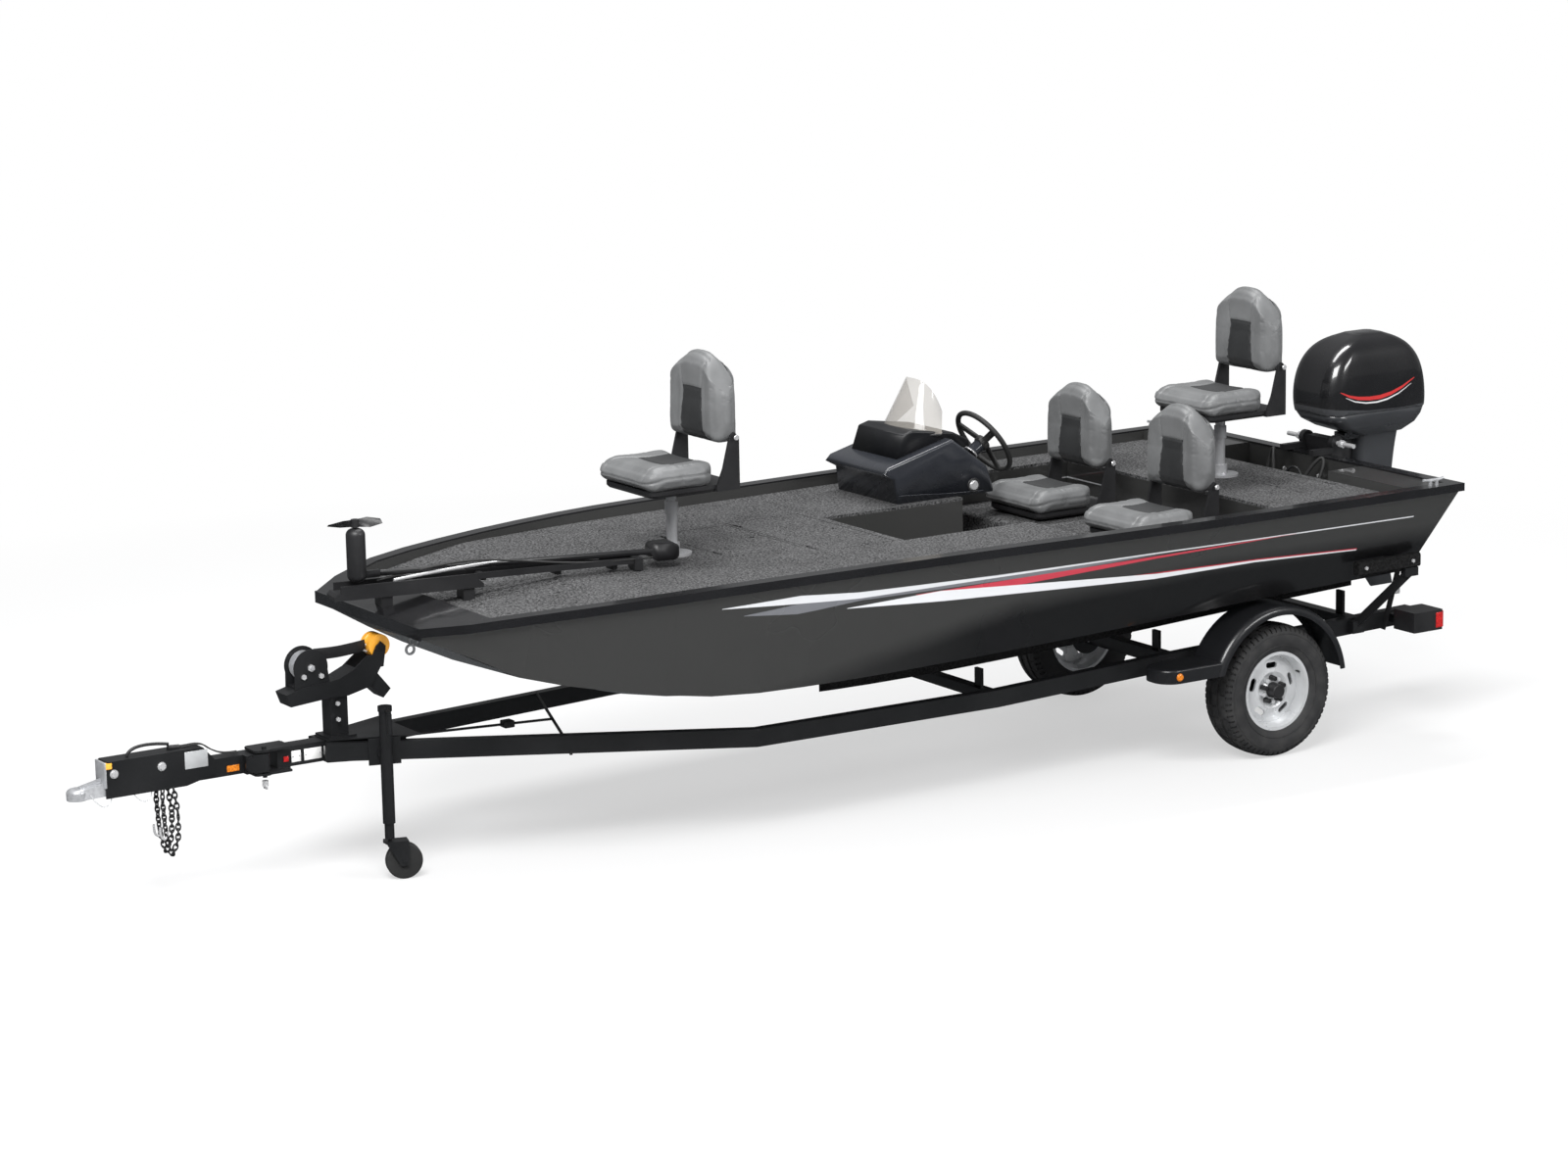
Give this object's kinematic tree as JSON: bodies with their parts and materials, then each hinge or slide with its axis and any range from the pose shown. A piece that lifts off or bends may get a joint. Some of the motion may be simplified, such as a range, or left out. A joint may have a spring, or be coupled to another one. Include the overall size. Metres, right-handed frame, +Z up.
{
  "type": "bass boat on trailer",
  "caption": "Aluminium bass boat with side console, two pedestal seats, two cockpit seats, outboard and bow motor, standing on a single-axle trailer.",
  "frame": {"origin": "on the floor, under the middle of the whole length, on the centreline", "axes": "+Z up, -Y towards the bow and the coupler, +X to port"},
  "size_m": [2.2, 7.281, 2.106],
  "materials": {
    "hull_paint": "metallic gloss",
    "black_gloss": "gloss",
    "carpet": "matte",
    "console_slate": "satin",
    "hood_charcoal": "satin",
    "windshield_clear": "clear",
    "rubber_black": "satin",
    "trailer_black": "satin",
    "galvanised": "satin",
    "tyre_black": "matte",
    "wheel_silver": "gloss",
    "roller_orange": "satin",
    "lamp_box": "gloss",
    "bunk_carpet": "matte",
    "cowl_black": "gloss",
    "motor_grey": "satin",
    "aluminium_satin": "satin",
    "moulding_black": "satin",
    "seat_vinyl": "satin",
    "pod_black": "satin"
  },
  "bodies": {
    "boat_on_trailer": {"hull_bow": "hull_paint", "hull_bottom": "hull_paint", "hull_sides": "hull_paint", "hull_stern": "hull_paint", "gunwale_cap": "black_gloss", "deck_fittings": "galvanised", "front_deck": "carpet", "rear_deck": "carpet", "cockpit_floor": "carpet", "console": "console_slate", "dash_hood": "hood_charcoal", "windshield": "windshield_clear", "trailer_frame": "trailer_black", "axle": "trailer_black", "fenders": "trailer_black", "bunks": "bunk_carpet", "winch_post": "trailer_black", "tail_lights": "lamp_box", "guide_pads": "bunk_carpet", "clamp_bracket": "motor_grey", "bow_mount": "black_gloss", "bow_shaft": "pod_black", "pedestals": "aluminium_satin", "cockpit_seat_pans": "moulding_black", "cockpit_seat_cushions": "seat_vinyl"},
    "swinging_tongue": {"swing_tongue": "trailer_black", "coupler": "galvanised"},
    "port_wheel": {"tyre_port": "tyre_black", "wheel_port": "wheel_silver"},
    "starboard_wheel": {"tyre_starboard": "tyre_black", "wheel_starboard": "wheel_silver"},
    "roller": {"bow_roller": "roller_orange"},
    "winch": {"winch_drum": "galvanised"},
    "jack": {"jack_tube": "trailer_black"},
    "jack_caster": {"jack_yoke": "trailer_black"},
    "jack_roll": {"jack_wheel": "rubber_black"},
    "motor_swivel": {"swivel_bracket": "motor_grey"},
    "motor": {"motor_cowl": "cowl_black", "motor_leg": "motor_grey"},
    "motor_prop": {"propeller": "cowl_black"},
    "helm": {"steering_wheel": "rubber_black"},
    "bow_motor_prop": {"bow_prop": "pod_black"},
    "lid_a": {"lid_front_a": "carpet"},
    "lid_b": {"lid_front_b": "carpet"},
    "lid_c": {"lid_aft": "carpet"},
    "front_seat": {"front_seat_pan": "moulding_black", "front_seat_cushion": "seat_vinyl"},
    "rear_seat": {"rear_seat_pan": "moulding_black", "rear_seat_cushion": "seat_vinyl"},
    "front_backrest": {"front_seat_back": "moulding_black", "front_seat_pad": "seat_vinyl"},
    "rear_backrest": {"rear_seat_back": "moulding_black", "rear_seat_pad": "seat_vinyl"},
    "port_backrest": {"port_seat_back": "moulding_black", "port_seat_pad": "seat_vinyl"},
    "starboard_backrest": {"starboard_seat_back": "moulding_black", "starboard_seat_pad": "seat_vinyl"}
  },
  "joints": [
    {"name": "port_wheel_spin", "type": "hinge", "parent": "boat_on_trailer", "child": "port_wheel", "pos_m": [0.765, 2.1085, 0.318], "axis": [1, 0, 0], "continuous": true},
    {"name": "starboard_wheel_spin", "type": "hinge", "parent": "boat_on_trailer", "child": "starboard_wheel", "pos_m": [-0.765, 2.1085, 0.318], "axis": [1, 0, 0], "continuous": true},
    {"name": "tongue_swing", "type": "hinge", "parent": "boat_on_trailer", "child": "swinging_tongue", "pos_m": [0.058, -2.7665, 0.568], "axis": [0, 0, 1], "range_deg": [0, 95]},
    {"name": "jack_swing", "type": "hinge", "parent": "boat_on_trailer", "child": "jack", "pos_m": [0.20442, -2.26261, 0.55681], "axis": [0.9561, -0.2931, 0], "range_deg": [0, 90]},
    {"name": "jack_caster_turn", "type": "hinge", "parent": "jack", "child": "jack_caster", "pos_m": [0.20442, -2.26261, 0.1], "axis": [0, 0, 1], "continuous": true},
    {"name": "jack_wheel_spin", "type": "hinge", "parent": "jack_caster", "child": "jack_roll", "pos_m": [0.22142, -2.20715, 0.08], "axis": [0.9561, -0.2931, 0], "continuous": true},
    {"name": "bow_roller_spin", "type": "hinge", "parent": "boat_on_trailer", "child": "roller", "pos_m": [0, -2.1935, 0.99], "axis": [1, 0, 0], "continuous": true},
    {"name": "winch_turn", "type": "hinge", "parent": "boat_on_trailer", "child": "winch", "pos_m": [0, -2.5255, 0.94], "axis": [1, 0, 0], "continuous": true},
    {"name": "motor_tilt", "type": "hinge", "parent": "boat_on_trailer", "child": "motor_swivel", "pos_m": [0, 3.0685, 1.3], "axis": [-1, 0, 0], "range_deg": [-55, 0]},
    {"name": "motor_steer", "type": "hinge", "parent": "motor_swivel", "child": "motor", "pos_m": [0, 3.2185, 1.135], "axis": [0, 0, 1], "range_deg": [-30, 30]},
    {"name": "motor_prop_spin", "type": "hinge", "parent": "motor", "child": "motor_prop", "pos_m": [0, 3.5805, 0.665], "axis": [0, 1, 0], "continuous": true},
    {"name": "helm_turn", "type": "hinge", "parent": "boat_on_trailer", "child": "helm", "pos_m": [-0.56, 1.4205, 1.398], "axis": [0, 0.848, 0.5299], "range_deg": [-540, 540]},
    {"name": "bow_prop_spin", "type": "hinge", "parent": "boat_on_trailer", "child": "bow_motor_prop", "pos_m": [-0.03021, -2.25104, 1.5], "axis": [0, 0, 1], "continuous": true},
    {"name": "lid_a_open", "type": "hinge", "parent": "boat_on_trailer", "child": "lid_a", "pos_m": [-0.11, -0.5255, 1.198], "axis": [1, 0, 0], "range_deg": [0, 40]},
    {"name": "lid_b_open", "type": "hinge", "parent": "boat_on_trailer", "child": "lid_b", "pos_m": [-0.05, -0.1205, 1.198], "axis": [1, 0, 0], "range_deg": [0, 85]},
    {"name": "lid_aft_open", "type": "hinge", "parent": "boat_on_trailer", "child": "lid_c", "pos_m": [0.365, 2.7025, 1.198], "axis": [-1, 0, 0], "range_deg": [0, 80]},
    {"name": "front_seat_swivel", "type": "hinge", "parent": "boat_on_trailer", "child": "front_seat", "pos_m": [0, -0.6915, 1.5], "axis": [0, 0, 1], "continuous": true},
    {"name": "rear_seat_swivel", "type": "hinge", "parent": "boat_on_trailer", "child": "rear_seat", "pos_m": [0, 2.4335, 1.5], "axis": [0, 0, 1], "continuous": true},
    {"name": "front_backrest_fold", "type": "hinge", "parent": "front_seat", "child": "front_backrest", "pos_m": [0, -0.4915, 1.736], "axis": [1, 0, 0], "range_deg": [0, 88]},
    {"name": "rear_backrest_fold", "type": "hinge", "parent": "rear_seat", "child": "rear_backrest", "pos_m": [0, 2.6335, 1.736], "axis": [1, 0, 0], "range_deg": [0, 88]},
    {"name": "port_backrest_fold", "type": "hinge", "parent": "boat_on_trailer", "child": "port_backrest", "pos_m": [0.4, 1.9035, 1.29], "axis": [1, 0, 0], "range_deg": [0, 88]},
    {"name": "starboard_backrest_fold", "type": "hinge", "parent": "boat_on_trailer", "child": "starboard_backrest", "pos_m": [-0.4, 1.9035, 1.29], "axis": [1, 0, 0], "range_deg": [0, 88]}
  ],
  "couplings": [
    {"joint": "helm_turn", "follows": "motor_steer", "ratio": 18}
  ]
}
